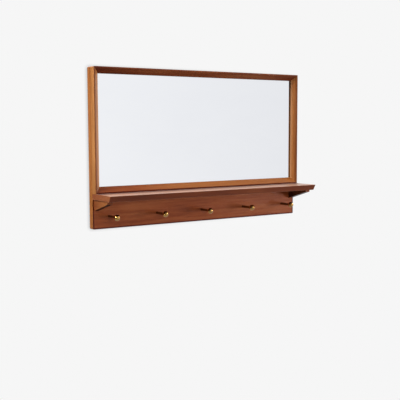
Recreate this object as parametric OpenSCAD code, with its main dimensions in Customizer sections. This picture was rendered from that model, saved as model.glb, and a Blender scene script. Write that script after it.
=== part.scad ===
// Wall mirror with a shelf and hooks.
// Millimetres. +X right, +Y into the wall, +Z up; the wall is the plane Y = 0 and the front faces -Y.
// The origin is on the wall, midway between the two screws that the mirror hangs on.

/* [Back board] */
// Width of the whole mirror
board_w = 813; // [700:1:1000]
// Height of the whole mirror
board_h = 505; // [460:1:640]
// Thickness of the board behind the glass and the hooks
board_t = 23; // [20:0.5:28]
// Radius of the board's four corners, seen from the front
board_corner_r = 4; // [2:0.5:12]
// Height of the board left bare under the shelf
hook_strip_h = 94; // [84:1:130]

/* [Mirror frame] */
// Depth of the frame in front of the board
frame_d = 22.5; // [22:0.5:32]
// Width of the flat front edge of the moulding
frame_face_w = 4; // [3:0.5:8]
// Width of the bevel that falls from the front edge to the glass
bevel_w = 16.5; // [14:0.5:24]
// Depth of that bevel
bevel_d = 15; // [8:0.5:16]
// Width of the rabbet that the glass lies in
rabbet_w = 6; // [4:0.5:6.5]
// Radius of the eased edges of the wood
arris_r = 0.8; // [0.4:0.1:1.2]

/* [Mirror] */
// Thickness of the glass
glass_t = 4; // [3:0.5:5]
// Thickness of the mirror tape behind the glass
tape_t = 1; // [0.5:0.1:1.5]
// Free space round the glass in its rabbet
glass_gap = 1; // [0.5:0.25:2]

/* [Shelf] */
// Thickness of the shelf
shelf_t = 19; // [16:0.5:24]
// How far the shelf stands out past the frame
shelf_overhang = 101; // [80:1:140]
// How far the shelf's front edge slants back underneath
shelf_undercut = 11; // [2:0.5:16]

/* [Brackets] */
// Thickness of each bracket
bracket_t = 18; // [15:0.5:24]
// Distance from the end of the board to the bracket's outer side
bracket_inset = 3; // [0:0.5:12]
// Distance from the shelf's front edge back to the bracket's nose
bracket_setback = 28; // [18:1:36]
// Height of the bracket at the board
bracket_h = 36.5; // [34:0.5:44]
// Height of the bracket's upright nose
bracket_nose_h = 8; // [6:0.5:14]

/* [Pegs] */
// Distance from the end of the board to the outermost peg
peg_margin = 56.5; // [45:0.5:120]
// Height of the pegs above the board's lower edge
peg_height = 39; // [28:0.5:44]
// Distance from the board's front to the middle of the ball
peg_reach = 54.5; // [40:0.5:75]
// Diameter of the peg's rod
rod_d = 8.5; // [7.5:0.25:11]
// Diameter of the ball on its end
ball_d = 19.5; // [15:0.5:26]

/* [Hanging] */
// Distance between the two wall screws
hanger_spacing = 406.4; // [300:0.1:610]
// Distance from the board's top edge down to the wall screws
hang_drop = 60; // [45:1:120]
// Diameter of the round entry that a screw's head goes in through
keyhole_head_d = 10; // [9:0.5:12]
// Width of the slot that the screw's shank slides up into
keyhole_slot_w = 5.2; // [4.5:0.1:6]
// How far the mirror drops on to its screws
keyhole_drop = 10; // [8:0.5:14]
// Depth of the pocket behind each keyhole plate
keyhole_pocket_d = 8; // [6:0.5:10]

/* [Hidden] */
$fn = 64;
PEG_COUNT = 5;
ARC_STEPS = 5;

// Clearances
WOOD_FIT = 0.05;        // screw, dowel or spline in its own hole
SCREW_CLEAR = 0.25;     // screw shank in the board
PLATE_FIT = 0.3;        // hanger plate in its recess
CUT = 1;                // how far a cutting shape runs past a face
SEAM_R = 0.3;           // eased edges where two pieces of wood meet

// Heights, from the hanging line at Z = 0
top_z = hang_drop;
bottom_z = top_z - board_h;
shelf_under_z = bottom_z + hook_strip_h;
shelf_top_z = shelf_under_z + shelf_t;
frame_h = top_z - shelf_top_z;
frame_mid_z = (top_z + shelf_top_z) / 2;
peg_z = bottom_z + peg_height;

// Moulding
moulding_w = frame_face_w + bevel_w;
rabbet_d = glass_t + tape_t;
moulding_back_w = moulding_w - rabbet_w;
lip_t = frame_d - bevel_d - rabbet_d;
lip_r = min(arris_r, lip_t / 3);

// Glass and tape
glass_w = board_w - 2 * (moulding_back_w + glass_gap);
glass_h = frame_h - 2 * (moulding_back_w + glass_gap);
TAPE_W = 25;
TAPE_COUNT = 4;
TAPE_MARGIN = 30;

// Splines in the mitres, parallel to the wall at the depth where the bevel ends
SPLINE_T = 3;
SPLINE_W = 6;
SPLINE_COVER = 1.2;
spline_centre = moulding_back_w / 2;
spline_l = 2 * ((spline_centre - SPLINE_COVER) * sqrt(2) - SPLINE_W / 2);
spline_y = -board_t - frame_d + bevel_d;

// Shelf and brackets
shelf_d = frame_d + shelf_overhang;
bracket_reach = shelf_d - bracket_setback;
bracket_x = board_w / 2 - bracket_inset - bracket_t / 2;
DOWEL_D = 6;
DOWEL_DEPTH = 10;
DOWEL_SHARES = [0.45, 0.72];

// Pegs
SPIGOT_D = 5;
SPIGOT_L = 6;
SPIGOT_FLOOR = 0.5;
ROD_CHAMFER = 0.4;
BALL_LAND = 0.5;
ball_seat_r = rod_d / 2 + BALL_LAND;
ball_seat = sqrt(pow(ball_d / 2, 2) - pow(ball_seat_r, 2));
rod_l = peg_reach - ball_seat;

// Machine screws behind the pegs
PEG_SCREW_D = 5;
PEG_SCREW_HEAD_D = 9.5;
PEG_SCREW_HEAD_H = 3;
PEG_SCREW_CHAMFER = 1;
PEG_SCREW_SUNK = 5;
PEG_SCREW_GRIP = 12;
PEG_HEAD_CLEAR = 0.75;
PEG_SCREW_FLOOR = 1;
peg_screw_l = board_t - PEG_SCREW_SUNK + PEG_SCREW_GRIP;

// Wood screws
WOOD_SCREW_D = 4;
WOOD_HEAD_D = 8;
WOOD_TIP_L = 4;
WOOD_TIP_R = 0.5;
PILOT_FLOOR = 0.5;
FRAME_GRIP = 12;
SHELF_GRIP = 37;
BRACKET_GRIP = 22;
RAIL_SCREWS = 4;
STILE_SCREWS = 3;
SHELF_SCREWS = 5;
SCREW_MARGIN = 50;
BRACKET_SCREW_SHARES = [0.3, 0.72];

// Cross recess in a screw head, as shares of the head's diameter
DRIVE_W = 0.45;
DRIVE_T = 0.13;
DRIVE_DEPTH = 0.2;

// Hanger plates
PLATE_T = 2;
PLATE_W = 20;
PLATE_CORNER_R = 3;
PLATE_END = 13;
PLATE_SCREW_D = 3.5;
PLATE_SCREW_HEAD_D = 6.6;
PLATE_SCREW_L = 16;
POCKET_R = 2;
POCKET_ROOM = 1.5;
pocket_half_w = keyhole_head_d / 2 + POCKET_ROOM;
plate_top = pocket_half_w + PLATE_END;
plate_bottom = -keyhole_drop - pocket_half_w - PLATE_END;
plate_screw_z = [plate_top - PLATE_END / 2, plate_bottom + PLATE_END / 2];

// Colours
WALNUT = [0.50, 0.27, 0.15];
WALNUT_LIGHT = [0.60, 0.35, 0.20];
BEECH = [0.80, 0.66, 0.48];
SILVER = [0.90, 0.92, 0.94];
TAPE = [0.92, 0.92, 0.90];
BRASS = [0.72, 0.55, 0.28];
STEEL = [0.66, 0.67, 0.68];

// ---- Outlines -------------------------------------------------------------------------------

function unit(v) = v / norm(v);

// The corner b of the path a, b, c rounded to radius r, as points on its arc
function eased_corner(a, b, c, r, steps) =
    r <= 0 ? [b] :
    let (u = unit(a - b),
         w = unit(c - b),
         half = acos(u * w) / 2,
         middle = b + unit(u + w) * r / sin(half),
         from = b + u * r / tan(half) - middle,
         to = b + w * r / tan(half) - middle,
         start = atan2(from.y, from.x),
         turn = sign(from.x * to.y - from.y * to.x) * (180 - 2 * half))
    [for (k = [0:steps]) middle + r * [cos(start + turn * k / steps), sin(start + turn * k / steps)]];

// A closed outline with each corner rounded to its own radius
function eased(points, radii, steps = ARC_STEPS) =
    let (n = len(points))
    [for (i = [0:n - 1])
        each eased_corner(points[(i + n - 1) % n], points[i], points[(i + 1) % n], radii[i], steps)];

// The corners of a rectangle, in turn from its low corner
function box_corners(low, high) = [low, [high.x, low.y], high, [low.x, high.y]];

// Even places from -half to half
function spread(count, half) = [for (i = [0:count - 1]) -half + 2 * half * i / (count - 1)];

// ---- Placing --------------------------------------------------------------------------------

// A rectangle whose corners are true arcs
module rounded_rect(low, high, r) {
    translate([low.x + r, low.y]) square([high.x - low.x - 2 * r, high.y - low.y]);
    translate([low.x, low.y + r]) square([high.x - low.x, high.y - low.y - 2 * r]);
    for (p = box_corners(low + [r, r], high - [r, r])) translate(p) circle(r);
}

// An outline in (Y, Z) carried along X, centred
module along_x(length) {
    rotate([90, 0, 90]) linear_extrude(length, center = true) children();
}

// An outline in (X, Z) carried from Y = front to Y = back
module along_y(front, back) {
    translate([0, back, 0]) rotate([90, 0, 0]) linear_extrude(back - front) children();
}

// A turned piece whose axis runs from the given point towards the room, along -Y
module turned(x, y, z) {
    translate([x, y, z]) rotate([90, 0, 0]) rotate_extrude() children();
}

module cylinder_y(x, z, front, back, d) {
    translate([x, back, z]) rotate([90, 0, 0]) cylinder(h = back - front, d = d);
}

// ---- Screws ---------------------------------------------------------------------------------

// The cross recess of a screw whose head lies at the given point
module drive_recess(x, y, z, head_d) {
    for (turn = [0, 90])
        translate([x, y, z]) rotate([90, turn, 0]) translate([0, 0, DRIVE_DEPTH * head_d / 2 - CUT / 2])
            cube([DRIVE_W * head_d, DRIVE_T * head_d, DRIVE_DEPTH * head_d + CUT], center = true);
}

// A countersunk wood screw driven in from the wall side
module wood_screw(x, z, length, d, head_d) {
    r = d / 2;
    head_r = head_d / 2;
    difference() {
        turned(x, 0, z)
            polygon([[0, 0], [head_r, 0], [r, head_r - r], [r, length - WOOD_TIP_L],
                     [WOOD_TIP_R, length], [0, length]]);
        drive_recess(x, 0, z, head_d);
    }
}

// A countersunk clearance hole for such a screw, through something of the given thickness
module countersunk_hole(x, z, d, head_d, depth) {
    head_r = head_d / 2 + WOOD_FIT;
    r = d / 2 + SCREW_CLEAR;
    turned(x, CUT, z)
        polygon([[0, 0], [head_r, 0], [head_r, CUT], [r, CUT + head_r - r],
                 [r, depth + 2 * CUT], [0, depth + 2 * CUT]]);
}

// What a wood screw takes out of the piece in front of the board
module pilot_hole(x, z, grip) {
    cylinder_y(x, z, -board_t - grip - PILOT_FLOOR, -board_t + CUT, WOOD_SCREW_D + 2 * WOOD_FIT);
}

frame_screw_v = moulding_back_w / 2;
rail_screw_x = spread(RAIL_SCREWS, board_w / 2 - SCREW_MARGIN);
stile_screw_z = [for (z = spread(STILE_SCREWS, frame_h / 2 - SCREW_MARGIN)) frame_mid_z + z];
shelf_screw_x = spread(SHELF_SCREWS, board_w / 2 - SCREW_MARGIN);
bracket_h_at_tip = bracket_h - (bracket_h - bracket_nose_h) * BRACKET_GRIP / bracket_reach;
bracket_screw_z = [for (share = BRACKET_SCREW_SHARES) shelf_under_z - share * bracket_h_at_tip];

frame_screw_places = concat(
    [for (x = rail_screw_x) [x, top_z - frame_screw_v]],
    [for (x = rail_screw_x) [x, shelf_top_z + frame_screw_v]],
    [for (z = stile_screw_z) [-board_w / 2 + frame_screw_v, z]],
    [for (z = stile_screw_z) [board_w / 2 - frame_screw_v, z]]);
shelf_screw_places = [for (x = shelf_screw_x) [x, shelf_top_z - shelf_t / 2]];
bracket_screw_places = [for (x = [-bracket_x, bracket_x], z = bracket_screw_z) [x, z]];
peg_x = spread(PEG_COUNT, board_w / 2 - peg_margin);
hanger_x = [-hanger_spacing / 2, hanger_spacing / 2];

// ---- Back board -----------------------------------------------------------------------------

// The outline of the whole mirror from the front, as deep as asked
module outline(front, back) {
    along_y(front, back)
        rounded_rect([-board_w / 2, bottom_z], [board_w / 2, top_z], board_corner_r);
}

module board_blank() {
    intersection() {
        outline(-board_t, 0);
        along_x(board_w + 2 * CUT)
            polygon(eased(box_corners([-board_t, bottom_z], [0, top_z]),
                          [SEAM_R, arris_r, arris_r, SEAM_R]));
        translate([0, 0, bottom_z - CUT]) linear_extrude(board_h + 2 * CUT)
            polygon(eased(box_corners([-board_w / 2, -board_t], [board_w / 2, 0]),
                          [SEAM_R, SEAM_R, arris_r, arris_r]));
    }
}

// Recess for a hanger plate, and the deeper pocket for the wall screw's head
module hanger_recess(x) {
    translate([x, 0, 0]) {
        along_y(-PLATE_T, CUT)
            rounded_rect([-PLATE_W / 2 - PLATE_FIT, plate_bottom - PLATE_FIT],
                         [PLATE_W / 2 + PLATE_FIT, plate_top + PLATE_FIT], PLATE_CORNER_R);
        along_y(-PLATE_T - keyhole_pocket_d, 0)
            rounded_rect([-pocket_half_w, -keyhole_drop - pocket_half_w],
                         [pocket_half_w, pocket_half_w], POCKET_R);
    }
    for (z = plate_screw_z)
        cylinder_y(x, z, -PLATE_SCREW_L - PILOT_FLOOR, 0, PLATE_SCREW_D + 2 * WOOD_FIT);
}

module back_board() color(WALNUT) difference() {
    board_blank();
    for (p = concat(frame_screw_places, shelf_screw_places, bracket_screw_places))
        countersunk_hole(p.x, p.y, WOOD_SCREW_D, WOOD_HEAD_D, board_t);
    for (x = peg_x) {
        cylinder_y(x, peg_z, -board_t - CUT, CUT, PEG_SCREW_D + 2 * SCREW_CLEAR);
        cylinder_y(x, peg_z, -PEG_SCREW_SUNK, CUT, PEG_SCREW_HEAD_D + 2 * PEG_HEAD_CLEAR);
    }
    for (x = hanger_x) hanger_recess(x);
}

// ---- Mirror frame ---------------------------------------------------------------------------

// Section of the moulding: how far behind its front, and minus how far in from its outer edge
moulding_section = eased(
    [[0, 0], [0, -frame_face_w], [bevel_d, -moulding_w], [frame_d - rabbet_d, -moulding_w],
     [frame_d - rabbet_d, -moulding_back_w], [frame_d, -moulding_back_w], [frame_d, 0]],
    [arris_r, arris_r, lip_r, lip_r, 0, 0, SEAM_R]);

// The four corner splines, lying across the mitres
module splines(extra = 0) {
    for (side = [-1, 1], end = [-1, 1])
        translate([side * (board_w / 2 - spline_centre), 0,
                   frame_mid_z + end * (frame_h / 2 - spline_centre)])
            along_y(spline_y - SPLINE_T / 2 - extra, spline_y + SPLINE_T / 2 + extra)
                rotate(45 * side * end)
                    square([SPLINE_W + 2 * extra, spline_l + 2 * extra], center = true);
}

// One side of the frame, as the top rail lies: outer edge at Z = 0, back on the board, mitred
module moulding(length) {
    translate([0, -board_t, 0]) intersection() {
        along_x(length) translate([-frame_d, 0]) polygon(moulding_section);
        along_y(-frame_d - CUT, CUT)
            polygon([[-length / 2, 0], [length / 2, 0],
                     [length / 2 - moulding_w, -moulding_w], [-length / 2 + moulding_w, -moulding_w]]);
    }
}

// A side of the frame, rounded where it lies on the board's corners, with the slots for its
// splines and the pilot holes for its screws
module frame_side() {
    color(WALNUT_LIGHT) difference() {
        intersection() {
            children();
            outline(-board_t - frame_d - CUT, -board_t + CUT);
        }
        splines(WOOD_FIT);
        for (p = frame_screw_places) pilot_hole(p.x, p.y, FRAME_GRIP);
    }
}

module frame_top_rail() frame_side()
    translate([0, 0, top_z]) moulding(board_w);
module frame_bottom_rail() frame_side()
    translate([0, 0, shelf_top_z]) rotate([0, 180, 0]) moulding(board_w);
module frame_left_stile() frame_side()
    translate([-board_w / 2, 0, frame_mid_z]) rotate([0, -90, 0]) moulding(frame_h);
module frame_right_stile() frame_side()
    translate([board_w / 2, 0, frame_mid_z]) rotate([0, 90, 0]) moulding(frame_h);

module mitre_splines() color(BEECH) splines();

// ---- Mirror ---------------------------------------------------------------------------------

module mirror_glass() color(SILVER)
    translate([-glass_w / 2, -board_t - rabbet_d, frame_mid_z - glass_h / 2])
        cube([glass_w, glass_t, glass_h]);

module mirror_tape() color(TAPE)
    for (x = spread(TAPE_COUNT, glass_w / 2 - TAPE_MARGIN - TAPE_W / 2))
        translate([x - TAPE_W / 2, -board_t - tape_t, frame_mid_z - glass_h / 2 + TAPE_MARGIN])
            cube([TAPE_W, tape_t, glass_h - 2 * TAPE_MARGIN]);

// ---- Shelf and brackets ---------------------------------------------------------------------

dowel_y = [for (share = DOWEL_SHARES) -board_t - share * bracket_reach];

module dowels(extra = 0, end = 0) {
    for (x = [-bracket_x, bracket_x], y = dowel_y)
        translate([x, y, shelf_under_z - DOWEL_DEPTH - end])
            cylinder(h = 2 * (DOWEL_DEPTH + end), d = DOWEL_D + 2 * extra);
}

// Keeps a piece between two ends, with its upright front corners eased
module eased_ends(half_w, depth) {
    intersection() {
        children();
        translate([0, 0, bottom_z]) linear_extrude(board_h)
            polygon(eased(box_corners([-half_w, -board_t - depth], [half_w, -board_t]),
                          [arris_r, arris_r, 0, 0]));
    }
}

module shelf() color(WALNUT) difference() {
    eased_ends(board_w / 2, shelf_d) along_x(board_w + 2 * CUT)
        polygon(eased([[-board_t, shelf_under_z], [-board_t, shelf_top_z],
                       [-board_t - shelf_d, shelf_top_z],
                       [-board_t - shelf_d + shelf_undercut, shelf_under_z]],
                      [0, 0, arris_r, arris_r]));
    dowels(WOOD_FIT, PILOT_FLOOR);
    for (p = shelf_screw_places) pilot_hole(p.x, p.y, SHELF_GRIP);
}

module bracket(x) color(WALNUT_LIGHT) difference() {
    translate([x, 0, 0]) eased_ends(bracket_t / 2, bracket_reach) along_x(bracket_t + 2 * CUT)
        polygon(eased([[-board_t, shelf_under_z], [-board_t - bracket_reach, shelf_under_z],
                       [-board_t - bracket_reach, shelf_under_z - bracket_nose_h],
                       [-board_t, shelf_under_z - bracket_h]],
                      [0, 0, arris_r, 0]));
    dowels(WOOD_FIT, PILOT_FLOOR);
    for (p = bracket_screw_places) pilot_hole(p.x, p.y, BRACKET_GRIP);
}

module bracket_left() bracket(-bracket_x);
module bracket_right() bracket(bracket_x);
module bracket_dowels() color(BEECH) dowels();

// ---- Pegs -----------------------------------------------------------------------------------

// A rod with a threaded hole for its screw in the foot and a spigot for the ball at the other end
module peg_rod(i) color(BRASS) turned(peg_x[i - 1], -board_t, peg_z)
    polygon([[PEG_SCREW_D / 2 + WOOD_FIT, 0], [rod_d / 2 - ROD_CHAMFER, 0], [rod_d / 2, ROD_CHAMFER],
             [rod_d / 2, rod_l], [SPIGOT_D / 2, rod_l], [SPIGOT_D / 2, rod_l + SPIGOT_L],
             [0, rod_l + SPIGOT_L], [0, PEG_SCREW_GRIP + PEG_SCREW_FLOOR],
             [PEG_SCREW_D / 2 + WOOD_FIT, PEG_SCREW_GRIP + PEG_SCREW_FLOOR]]);

// A ball with a flat for the end of the rod and a bore for its spigot
module peg_ball(i) color(BRASS)
    translate([peg_x[i - 1], -board_t - peg_reach, peg_z]) rotate([-90, 0, 0]) difference() {
        sphere(d = ball_d);
        translate([0, 0, ball_seat]) cylinder(h = ball_d, d = ball_d);
        translate([0, 0, ball_seat - SPIGOT_L - SPIGOT_FLOOR])
            cylinder(h = ball_d, d = SPIGOT_D + 2 * WOOD_FIT);
    }

// A machine screw with its head down in the board, reaching into the rod
module peg_screw(x) {
    r = PEG_SCREW_D / 2;
    head_r = PEG_SCREW_HEAD_D / 2;
    head_y = -PEG_SCREW_SUNK + PEG_SCREW_HEAD_H;
    difference() {
        turned(x, head_y, peg_z)
            polygon([[0, 0], [head_r - PEG_SCREW_CHAMFER, 0], [head_r, PEG_SCREW_CHAMFER],
                     [head_r, PEG_SCREW_HEAD_H], [r, PEG_SCREW_HEAD_H],
                     [r, PEG_SCREW_HEAD_H + peg_screw_l], [0, PEG_SCREW_HEAD_H + peg_screw_l]]);
        drive_recess(x, head_y, peg_z, PEG_SCREW_HEAD_D);
    }
}

module peg_screws() color(STEEL) for (x = peg_x) peg_screw(x);

// ---- Wood screws ----------------------------------------------------------------------------

module board_screws(places, grip) {
    for (p = places) wood_screw(p.x, p.y, board_t + grip, WOOD_SCREW_D, WOOD_HEAD_D);
}

module frame_screws() color(STEEL) board_screws(frame_screw_places, FRAME_GRIP);
module shelf_screws() color(STEEL) board_screws(shelf_screw_places, SHELF_GRIP);
module bracket_screws() color(STEEL) board_screws(bracket_screw_places, BRACKET_GRIP);

// ---- Hangers --------------------------------------------------------------------------------

module hanger_plate(x) color(STEEL) difference() {
    translate([x, 0, 0]) along_y(-PLATE_T, 0)
        rounded_rect([-PLATE_W / 2, plate_bottom], [PLATE_W / 2, plate_top], PLATE_CORNER_R);
    cylinder_y(x, -keyhole_drop, -PLATE_T - CUT, CUT, keyhole_head_d);
    cylinder_y(x, 0, -PLATE_T - CUT, CUT, keyhole_slot_w);
    translate([x - keyhole_slot_w / 2, -PLATE_T - CUT, -keyhole_drop])
        cube([keyhole_slot_w, PLATE_T + 2 * CUT, keyhole_drop]);
    for (z = plate_screw_z) countersunk_hole(x, z, PLATE_SCREW_D, PLATE_SCREW_HEAD_D, PLATE_T);
}

module hanger_plate_left() hanger_plate(hanger_x[0]);
module hanger_plate_right() hanger_plate(hanger_x[1]);
module hanger_screws() color(STEEL) for (x = hanger_x, z = plate_screw_z)
    wood_screw(x, z, PLATE_SCREW_L, PLATE_SCREW_D, PLATE_SCREW_HEAD_D);

// ---- Nodes ----------------------------------------------------------------------------------

back_board();
frame_top_rail();
frame_bottom_rail();
frame_left_stile();
frame_right_stile();
mitre_splines();
mirror_glass();
mirror_tape();
shelf();
bracket_left();
bracket_right();
bracket_dowels();
for (i = [1:PEG_COUNT]) {
    peg_rod(i);
    peg_ball(i);
}
peg_screws();
frame_screws();
shelf_screws();
bracket_screws();
hanger_plate_left();
hanger_plate_right();
hanger_screws();
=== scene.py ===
# A wall mirror with a shelf and brass pegs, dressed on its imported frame: wood mouldings, shelf and
# brackets with eased edges, turned pegs, the mirror plate, their finishes, and the studio round
# them. Metres. +X right, +Y into the wall, +Z up; the wall is the plane Y = 0.

import math

import bmesh
import bpy
import numpy as np
from mathutils import Matrix, Vector


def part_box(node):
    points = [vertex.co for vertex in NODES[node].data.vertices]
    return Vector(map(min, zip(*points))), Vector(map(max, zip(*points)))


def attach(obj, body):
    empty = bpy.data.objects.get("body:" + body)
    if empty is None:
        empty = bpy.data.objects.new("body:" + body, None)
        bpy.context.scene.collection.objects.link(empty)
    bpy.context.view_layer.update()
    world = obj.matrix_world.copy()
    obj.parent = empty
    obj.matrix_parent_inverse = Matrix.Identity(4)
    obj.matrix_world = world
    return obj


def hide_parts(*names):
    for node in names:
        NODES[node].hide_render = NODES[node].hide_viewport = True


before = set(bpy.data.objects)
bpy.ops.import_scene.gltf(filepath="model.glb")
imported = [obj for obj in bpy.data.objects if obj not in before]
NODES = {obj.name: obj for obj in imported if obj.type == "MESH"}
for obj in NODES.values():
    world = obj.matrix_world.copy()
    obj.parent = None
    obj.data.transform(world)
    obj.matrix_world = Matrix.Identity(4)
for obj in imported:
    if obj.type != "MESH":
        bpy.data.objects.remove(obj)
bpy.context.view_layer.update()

MM = 0.001

# Camera, fitted to the photograph: its place, its turn to the right of +Y, its tilt and its roll,
# and its focal length in picture widths
CAMERA_AT = (-1431.7 * MM, -2184.3 * MM, -130.5 * MM)
CAMERA_YAW = math.radians(33.42)
CAMERA_DOWN = math.radians(5.364)
CAMERA_ROLL = math.radians(-0.229)
FOCAL_IN_WIDTHS = 763.6 / 400
SENSOR_W = 36.0

# Shape values that the frame's boxes don't give: rounded corners, eased edges in the open and in
# seams, the moulding's section, the shelf's slanted front, the brackets' noses and the pegs' ends
CORNER_R = 4 * MM
ARRIS_R = 0.8 * MM
SHELF_ARRIS_R = 1.0 * MM
SEAM_R = 0.3 * MM
FACE_W = 4 * MM
BEVEL_D = 15 * MM
RABBET_W = 6 * MM
RABBET_D = 5 * MM
SHELF_UNDERCUT = 11 * MM
BRACKET_NOSE_H = 8 * MM
ROD_CHAMFER = 0.4 * MM
PEG_EASE = 0.15 * MM
GLASS_INDEX = 1.5
PEG_NUMBERS = range(1, 6)

# How finely the forms are made: steps round an eased edge, stations along a moulding and towards
# each of its ends, sides of a turned form and rings of a ball. Points nearer than MERGED are one
# point, and edges sharper than CRISP stay crisp.
ARC_STEPS = 8
SIDE_STATIONS = 48
END_STATIONS = 10
TURNED_SIDES = 96
BALL_RINGS = 64
MERGED = 0.0002 * MM
CRISP = math.radians(35)

BOARD_LOW, BOARD_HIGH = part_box("back_board")
RAIL_LOW, RAIL_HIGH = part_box("frame_bottom_rail")
HALF_W = BOARD_HIGH.x
FRAME_TOP, FRAME_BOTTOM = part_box("frame_top_rail")[1].z, RAIL_LOW.z
FRAME_MID = (FRAME_TOP + FRAME_BOTTOM) / 2
FRAME_H = FRAME_TOP - FRAME_BOTTOM
FRAME_FRONT = RAIL_LOW.y
FRAME_D = RAIL_HIGH.y - RAIL_LOW.y
MOULDING_W = RAIL_HIGH.z - RAIL_LOW.z
LIP_R = min(ARRIS_R, (FRAME_D - BEVEL_D - RABBET_D) / 6)

RIGHT, LEFT, UP, DOWN, INTO_WALL = (1, 0, 0), (-1, 0, 0), (0, 0, 1), (0, 0, -1), (0, 1, 0)
BOTH_ENDS, UPPER_END, NO_END = (-1, 1), (1,), ()

# Dark lines, as (axis, where they start, where they are full) by distance from the middle or the
# wall: along the board's ends and bottom, a dark joint at the edging with painted shade at the
# arris; and painted shade towards the top rail's ends, on the frame's flat front edge, on the
# brackets along the board, and on the shelf's top along the frame
BOARD_LINES = ((0, HALF_W - 4.6 * MM, HALF_W - 4.4 * MM),
               (2, -BOARD_LOW.z - 4.6 * MM, -BOARD_LOW.z - 4.4 * MM))
RAIL_ENDS = ((0, 270 * MM, 500 * MM),)
RAIL_EDGE = ((1, -FRAME_FRONT - 0.6 * MM, -FRAME_FRONT - 0.4 * MM),)
STILE_EDGE = ((1, -FRAME_FRONT - 7 * MM, -FRAME_FRONT + 2 * MM),)
BRACKET_JOINT = ((1, -BOARD_LOW.y + 4.5 * MM, -BOARD_LOW.y + 3 * MM),)
SHELF_JOINT = ((1, -FRAME_FRONT + 40 * MM, -FRAME_FRONT + 18 * MM),)

# Painted light, as (axis, where it starts, where it is full, share), from left to right on the
# bottom rail and by distance from the wall elsewhere: the bottom rail lighter out of the left
# stile's shade, the stiles' bevel lit next to the lip by light off the mirror, a painted reflection
# towards the shelf's front, and a painted highlight towards the brackets' noses
RAIL_PAINTED_LIGHT = (0, -250 * MM, -30 * MM, 0.7)
STILE_LIP = (1, -FRAME_FRONT - 10 * MM, -FRAME_FRONT - BEVEL_D, 0.7)
SHELF_FRONT = (1, 85 * MM, 140 * MM, 0.5)
BRACKET_NOSE = (1, 35 * MM, 118 * MM, 0.75)


# ---- Meshes ----------------------------------------------------------------------------------

def ring_faces(rings, size, capped=False):
    """Quads between closed rings of points, and a flat face over each end if capped.

    Point j of ring i is number i * size + j.
    """
    first = np.arange(rings - 1)[:, None] * size
    here = np.arange(size)[None, :]
    over = (here + 1) % size
    quads = np.stack([first + here, first + over, first + size + over, first + size + here], -1)
    faces = quads.reshape(-1, 4).tolist()
    if capped:
        faces += [list(range(size))[::-1], list(range((rings - 1) * size, rings * size))]
    return faces


def outward(points, faces):
    """The same faces, all turned over if the closed form that they make has a negative volume.

    The volume is a sixth of the sum of a . (b x c) over the triangles that the faces fan into.
    """
    fans = np.array([(f[0], f[k], f[k + 1]) for f in faces for k in range(1, len(f) - 1)])
    a, b, c = points[fans[:, 0]], points[fans[:, 1]], points[fans[:, 2]]
    volume = np.einsum("ij,ij->i", a, np.cross(b, c)).sum()
    return faces if volume > 0 else [f[::-1] for f in faces]


def piece(name, points, faces, finish, node, worn_and_lit=None):
    """A closed form with outward faces, which stands for a node and rides on the frame.

    Grid points that fall together, at a pole or an eased corner's tip, are merged into one. The
    finish lightens each point, partly as wear and partly as a painted highlight, as far as the
    given amount says.
    """
    points = np.asarray(points, float).reshape(-1, 3)
    mesh = bpy.data.meshes.new(name)
    mesh.from_pydata(points, [], outward(points, faces))
    if worn_and_lit is not None:
        layer = mesh.attributes.new("worn_and_lit", "FLOAT", "POINT")
        layer.data.foreach_set("value", np.asarray(worn_and_lit, np.float32).ravel())
    form = bmesh.new()
    form.from_mesh(mesh)
    bmesh.ops.remove_doubles(form, verts=form.verts, dist=MERGED)
    form.to_mesh(mesh)
    form.free()
    mesh.validate()
    mesh.polygons.foreach_set("use_smooth", np.ones(len(mesh.polygons), bool))
    mesh.set_sharp_from_angle(angle=CRISP)
    mesh.materials.append(finish)
    body = bpy.data.objects.new(name, mesh)
    bpy.context.scene.collection.objects.link(body)
    body.modifiers.new("even_normals", "WEIGHTED_NORMAL").keep_sharp = True
    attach(body, "root")
    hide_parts(node)
    return body


def unit(vectors):
    """Each row's vector brought to length 1."""
    return vectors / np.linalg.norm(vectors, axis=1)[:, None]


def turn_of(outline):
    """Twice the signed area of an outline: positive when it runs anticlockwise."""
    x, y = outline[:, 0], outline[:, 1]
    return float((x * np.roll(y, -1) - np.roll(x, -1) * y).sum())


def eased_outline(corners, radii):
    """A closed outline with rounded corners, its outward normals, and how rounded each point is.

    A corner b between a and c has its arc's middle at b + r / sin(half) along the bisector, where
    half is half the corner's angle, and the arc turns through 180 degrees less the whole angle.
    """
    b = np.asarray(corners, float)
    r = np.asarray(radii, float)[:, None]
    back, on = unit(np.roll(b, 1, 0) - b), unit(np.roll(b, -1, 0) - b)
    half = (np.arccos(np.clip((back * on).sum(1), -1, 1)) / 2)[:, None]
    middle = b + unit(back + on) * r / np.sin(half)
    start = b + back * r / np.tan(half) - middle
    end = b + on * r / np.tan(half) - middle
    side = np.sign(start[:, 0] * end[:, 1] - start[:, 1] * end[:, 0])[:, None]
    turn = side * (np.pi - 2 * half) * np.linspace(0, 1, ARC_STEPS + 1)
    angle = np.arctan2(start[:, 1], start[:, 0])[:, None] + turn
    spoke = np.stack([np.cos(angle), np.sin(angle)], -1)
    convex = side * np.sign(turn_of(b))
    points = middle[:, None] + r[:, None] * spoke
    # How far each point is lightened, partly as wear and partly as a painted highlight on the arris:
    # most at the middle of a convex arc
    worn_and_lit = np.clip(convex, 0, 1) * np.sin(np.linspace(0, np.pi, ARC_STEPS + 1))
    return points.reshape(-1, 2), (spoke * convex[..., None]).reshape(-1, 2), worn_and_lit.ravel()


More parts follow.
